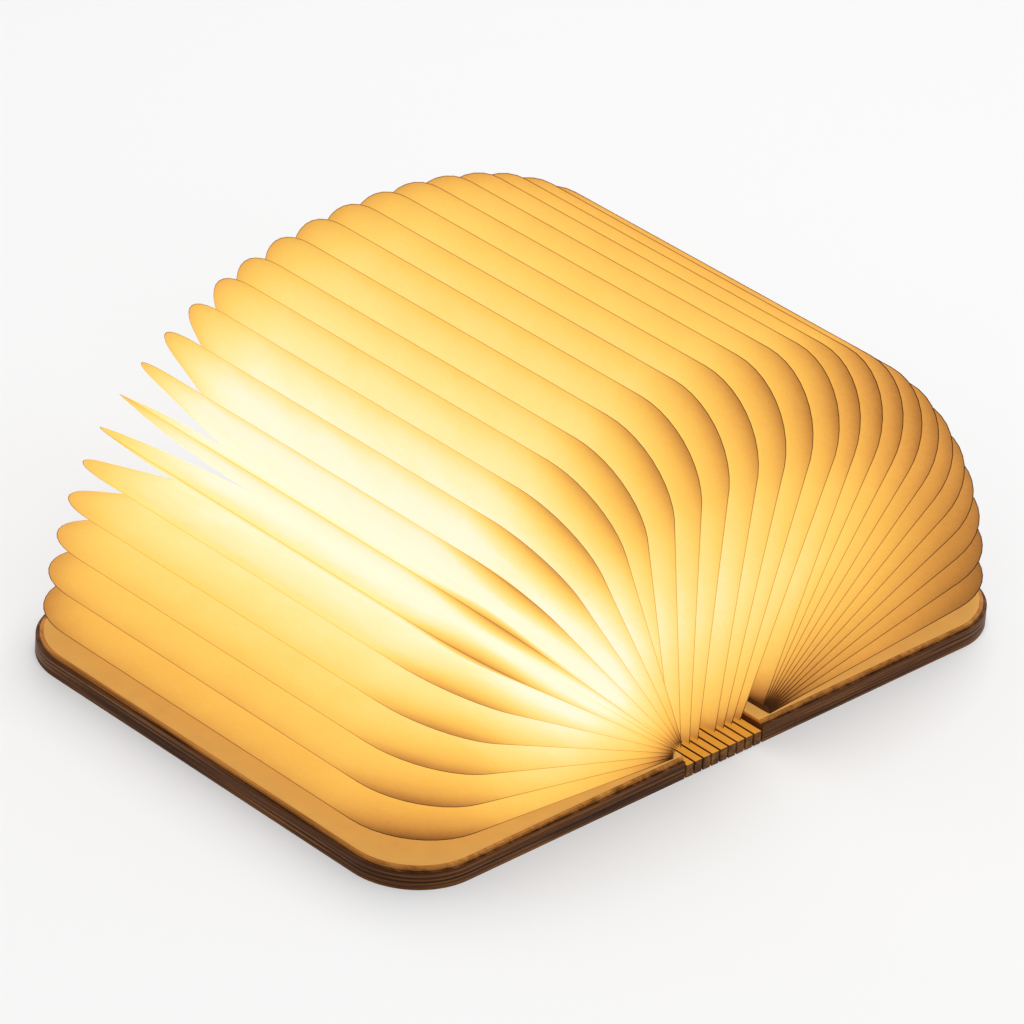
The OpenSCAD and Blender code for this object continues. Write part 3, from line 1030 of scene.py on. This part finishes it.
        (rx, rz), (sx, sz) = self.layout.root(i), self.layout.across(i)
        if face is Face.INNER and i == self.layout.half:
            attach(thing, leaf(i))
            return
        if face is Face.OUTER and i == 1:
            neighbour, width = f"{half.word}_cover", self.cover_bend_wid
        else:
            neighbour, width = leaf(i + face.value), self.bend_wid
        leaf(i)
        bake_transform(thing)

    def build(self) -> None:
        """Build every sheet, and let each pair stand for its leaf's solid."""
        for half in Half:
            for i in range(1, self.layout.half + 1):
                number = self.layout.number(i, half)
                for face in Face:
                    sheet = Sheet(i, face, half)
                    thing = self.sheet_mesh(f"sheet_{number:02d}_{face.name.lower()}", sheet)
                    self.bend(thing, sheet)
                    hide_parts(f"leaf_{number:02d}")
                    self.sheets.append(thing)


# --------------------------------------------------------------------------- linen and lead


@dataclass(frozen=True)
class BendingStrips:
    """The hinge linen and the flat lead, each cut into pieces at the hinges."""

    linen: bpy.types.Material
    film: bpy.types.Material
    cover: Cover = Cover()
    spine: Spine = Spine()
    gap_steps: int = 6
    linen_th: float = 0.3
    linen_inset: float = 4.0
    linen_tuck: float = 10.0
    lead_y: float = 80.0
    lead_wid: float = 5.0
    lead_th: float = 0.15
    lead_z: float = 6.55
    lead_start: float = -75.35
    lead_cut: float = -50.0
    board_top: float = 3.0
    strip_wid: float = 2.7

    @staticmethod
    def strip(name: str, cuts: list[float], y: tuple[float, float], z: tuple[float, float],
              material: bpy.types.Material) -> bpy.types.Object:
        """Build a flat closed strip.

        Args:
            name: The strip's name.
            cuts: The places of its ends and cross cuts along X.
            y: Its front and back edge.
            z: Its lower and upper face.
            material: Its material.

        Returns:
            The strip.
        """
        points, faces = [], []
        for x in cuts:
            points += [(x, y[0], z[0]), (x, y[1], z[0]), (x, y[1], z[1]), (x, y[0], z[1])]
        end = 4 * (len(cuts) - 1)
        for s in range(0, end, 4):
            for c in range(4):
                a, b = s + c, s + (c + 1) % 4
                faces.append((a, a + 4, b + 4, b))
        faces += [(0, 1, 2, 3), (end + 3, end + 2, end + 1, end)]
        return mesh_object(name, points, faces, material, smooth=False)

    def cuts(self, k: int, start: float, end: float) -> list[float]:
        """Place a strip's ends, with close cuts over hinge k's gap between them.

        Args:
            k: The hinge.
            start: Where the strip starts along X.
            end: Where it ends.

        Returns:
            The places along X.
        """
        x, half = self.spine.hinge_x(k), self.gap_steps // 2
        close = [x + self.spine.slat_gap * s / self.gap_steps for s in range(-half, half + 1)]
        return sorted({round(c, 4) for c in (start, *close, end) if start <= c <= end})

    def bend(self, piece: bpy.types.Object, k: int) -> None:
        """Bake the place of a piece that lies across a hinge into its mesh.

        Args:
            piece: The piece.
            k: The hinge, counted from the left.
        """
        x, half_gap = self.spine.hinge_x(k) * MM, self.spine.slat_gap / 2 * MM
        self.spine.body(k - 1)
        self.spine.body(k)
        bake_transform(piece)

    def build(self) -> None:
        """Build both strips, hinge by hinge."""
        self.build_linen()
        self.build_lead()

    def build_linen(self) -> None:
        """Build the cloth that runs through the slats and into slots of both covers."""
        y, z = self.cover.length / 2 - self.linen_inset, self.spine.hinge_z
        last = self.spine.slat_count + 1
        tuck, pitch = self.linen_tuck + self.spine.slat_gap / 2, self.spine.slat_pitch
        for k in range(1, last + 1):
            x = self.spine.hinge_x(k)
            cuts = self.cuts(k, x - (tuck if k == 1 else pitch / 2),
                             x + (tuck if k == last else pitch / 2))
            piece = self.strip(f"linen_fold_{k}", cuts, (-y, y),
                               (z - self.linen_th / 2, z + self.linen_th / 2), self.linen)
            self.bend(piece, k)
            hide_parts("hinge_linen")

    def build_lead(self) -> None:
        """Build the flat lead: its run in the cover, its drop, and its way over the slats."""
        y = (self.lead_y - self.lead_wid / 2, self.lead_y + self.lead_wid / 2)
        edge, th, top = -self.spine.wid / 2, self.lead_th, self.spine.slat_th
        start, upper = self.lead_start, self.lead_z + self.lead_th
        run = self.strip("lead_run", [start, self.lead_cut, edge], y, (self.lead_z, upper),
                         self.film)
        foot = self.strip("lead_foot", [start, start + th], y, (self.board_top, self.lead_z),
                          self.film)
        drop = self.strip("lead_drop", [edge, edge + th], y, (top, upper), self.film)
        for piece in (run, foot, drop):
            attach(piece, "left_cover")
            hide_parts("strip_lead")
        middle = (self.spine.slat_count + 1) // 2
        for k in range(1, middle + 1):
            x, half_pitch = self.spine.hinge_x(k), self.spine.slat_pitch / 2
            cuts = self.cuts(k, edge if k == 1 else x - half_pitch,
                             -self.strip_wid / 2 if k == middle else x + half_pitch)
            piece = self.strip(f"lead_fold_{k}", cuts, y, (top, top + th), self.film)
            self.bend(piece, k)
            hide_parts("strip_lead")


# --------------------------------------------------------------------------- the solid pieces


@dataclass(frozen=True)
class WoodenBook:
    """The covers with their layers, the slats, and what lies inside them."""

    cover: Cover = Cover()
    spine: Spine = Spine()

    def build(self, effects: Effects) -> None:
        """Dress every carried-over node.

        Args:
            effects: The shared node groups.
        """
        board = Walnut("walnut_board", plies=4, thickness=self.cover.th).build(effects)
        slat = Walnut("walnut_slat", dark=srgb(62, 34, 14), mid=srgb(116, 74, 34),
                      light=srgb(160, 108, 54), lit_top=srgb(236, 160, 52),
                      lit_strength=0.8).build(effects)
        liner = Walnut("liner_board", dark=srgb(128, 80, 36), mid=srgb(184, 126, 62),
                       light=srgb(214, 156, 84), lit_top=srgb(120, 76, 34),
                       lit_strength=0.3).build(effects)
        # The endpaper card's glow is painted light: it gives off the light that the lit paper
        # pockets above throw on it.
        card = Flecked("endpaper_card", srgb(218, 162, 82), roughness=0.85, fleck=0.06,
                       glow=0.78, shade=0.28).build(effects)
        for half in Half:
            dress(f"{half.word}_cover", board)
            dress(f"{half.word}_liner", liner)
            dress(f"{half.word}_endpaper", card)
        for k in range(1, self.spine.slat_count + 1):
            dress(f"slat_{k}", slat)
        self.dress_inside(effects)

    @staticmethod
    def dress_inside(effects: Effects) -> None:
        """Dress the light, the power parts and the magnets.

        Args:
            effects: The shared node groups.
        """
        steel = srgb(186, 188, 190)
        finishes = {
            # The strip film's glow is painted light from the chips on it; the chips alone give
            # light.
            "light_strip": Flecked("strip_film", srgb(236, 186, 100), 0.5, glow=0.3),
            "light_chips": Flecked("chip_phosphor", srgb(255, 226, 150), 0.4, glow=1.6),
            "battery": Flecked("pouch_foil", srgb(190, 192, 196), 0.35, metallic=0.9),
            "control_board": Flecked("board_mask", srgb(20, 88, 48), 0.4),
            "board_parts": Flecked("part_black", srgb(30, 30, 32), 0.45),
            "charge_port": Flecked("port_shell", srgb(196, 198, 202), 0.3, metallic=1.0),
            "port_tongue": Flecked("tongue_black", srgb(26, 26, 28), 0.5),
            "magnet_switch": Flecked("switch_black", srgb(34, 34, 36), 0.45),
            "left_magnets": Flecked("magnet_plate", steel, 0.25, metallic=1.0),
            "right_magnets": Flecked("magnet_plate_right", steel, 0.25, metallic=1.0),
            "inner_wires": Flecked("wire_red", srgb(176, 34, 26), 0.45),
        }
        for node, finish in finishes.items():
            dress(node, finish.build(effects))


# --------------------------------------------------------------------------- the studio


@dataclass(frozen=True)
class Lamp:
    """A soft square lamp, in metres and watts, turned towards the foot of the fan."""

    name: str
    place: Point
    size: float
    watts: float
    aim: Point = (0, 0, 0.03)

    def hang(self) -> None:
        """Add the lamp to the scene."""
        data = bpy.data.lights.new(self.name, "AREA")
        data.size, data.energy = self.size, self.watts
        lamp = bpy.data.objects.new(self.name, data)
        lamp.location = self.place
        ahead = Vector(self.aim) - Vector(self.place)
        lamp.rotation_euler = ahead.to_track_quat("-Z", "Y").to_euler()
        bpy.context.scene.collection.objects.link(lamp)


@dataclass(frozen=True)
class Studio:
    """The camera, the lamps and the floor, in degrees and millimetres.

    The lamps and the camera's far limit are in metres. World light is what the surroundings
    give, and world seen is how bright they look.
    """

    azimuth: float = 45.05
    elevation: float = 30.69
    roll: float = 3.82
    distance: float = 2698.2
    aim_x: float = 57.9
    aim_y: float = 63.5
    focal_px: float = 7228.8
    image_px: int = 1024
    sensor: float = 36.0
    far_limit: float = 50.0
    world_light: float = 0.44
    world_seen: float = 0.96
    lamps: tuple[Lamp, ...] = (Lamp("key_lamp", (0.52, 0.24, 1.9), 1.0, 22.0),
                               Lamp("fill_lamp", (-0.6, -0.8, 1.1), 1.2, 4.4))
    floor_reach: float = 6000.0
    floor_z: float = -0.05
    floor_grey: float = 0.90
    floor_roughness: float = 0.9
    floor_white: float = 0.96
    floor_white_share: float = 0.35

    def place_camera(self) -> None:
        """Set the camera where the photograph was taken from."""
        az, el, ro = (math.radians(a) for a in (self.azimuth, self.elevation, self.roll))
        ahead = Vector((math.sin(az) * math.cos(el), math.cos(az) * math.cos(el), -math.sin(el)))
        right = ahead.cross(Vector((0, 0, 1))).normalized()
        up = right.cross(ahead)
        side = math.cos(ro) * right + math.sin(ro) * up
        top = -math.sin(ro) * right + math.cos(ro) * up
        spot = Vector((self.aim_x, self.aim_y, 0)) * MM - ahead * self.distance * MM
        turn = Matrix((side, top, -ahead)).transposed().to_4x4()
        data = bpy.data.cameras.new("photo_camera")
        data.sensor_width = self.sensor
        data.lens = self.focal_px / self.image_px * self.sensor
        data.clip_end = self.far_limit
        camera = bpy.data.objects.new("photo_camera", data)
        camera.matrix_world = Matrix.Translation(spot) @ turn
        bpy.context.scene.collection.objects.link(camera)
        bpy.context.scene.camera = camera
        LOG.info("camera")

    def light(self) -> None:
        """Set the world and the lamps."""
        world = bpy.data.worlds.new("studio")
        bpy.context.scene.world = world
        world.use_nodes = True
        g = Graph(world.node_tree)
        more = self.world_seen - self.world_light
        strength = g.math("MULTIPLY_ADD", seen_plainly(g), more, self.world_light)
        g.fill(world.node_tree.nodes["Background"], {"Color": grey(1.0), "Strength": strength})
        for lamp in self.lamps:
            lamp.hang()
        LOG.info("lamps")

    def lay_floor(self) -> None:
        """Lay a pale floor that keeps the object's shadow."""
        material, g, shader = new_material("pale_floor")
        g.fill(shader, {"Base Color": grey(self.floor_grey), "Roughness": self.floor_roughness,
                        "Specular IOR Level": 0.0})
        white = g.add("ShaderNodeEmission", {"Color": grey(self.floor_white), "Strength": 1.0})
        share = g.math("MULTIPLY", seen_plainly(g), self.floor_white_share)
        both = g.add("ShaderNodeMixShader", {0: share, 1: shader.outputs[0], 2: white.outputs[0]})
        g.fill(g.tree.nodes["Material Output"], {"Surface": both.outputs[0]})
        r, z = self.floor_reach, self.floor_z
        floor = mesh_object(FLOOR, [(-r, -r, z), (r, -r, z), (r, r, z), (-r, r, z)],
                            [(0, 1, 2, 3)], material, smooth=False)

    @staticmethod
    def spare_floor(glowing: list[bpy.types.Object]) -> None:
        """Keep the paper's glow off the floor, whose shadow is grey in the photograph.

        Args:
            glowing: The objects that give off light.
        """
        lit = bpy.data.collections.new("lit_by_paper")
        for thing in bpy.context.scene.objects:
            if thing.type == "MESH" and thing.name != FLOOR:
                lit.objects.link(thing)
        for thing in glowing:
            thing.light_linking.receiver_collection = lit
        LOG.info("floor kept out of the paper's light")

    def build(self) -> None:
        """Set up the whole studio."""
        self.place_camera()
        self.light()
        self.lay_floor()
        bpy.context.scene.view_settings.view_transform = "Standard"


def main() -> None:
    """Load the frame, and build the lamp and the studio."""
    logging.basicConfig(level=logging.INFO, format="%(message)s")
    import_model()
    Studio().build()
    effects = Effects()
    WoodenBook().build(effects)
    linen = Flecked("hinge_linen_weave", srgb(58, 46, 36), 0.9, size=2200.0, bump=0.4)
    film = Flecked("lead_film", srgb(206, 150, 40), 0.35)
    BendingStrips(linen.build(effects), film.build(effects)).build()
    fan = PaperFan(LitPaper().build(effects))
    fan.build()
    Studio.spare_floor(fan.sheets)


if __name__ == "__main__":
    main()
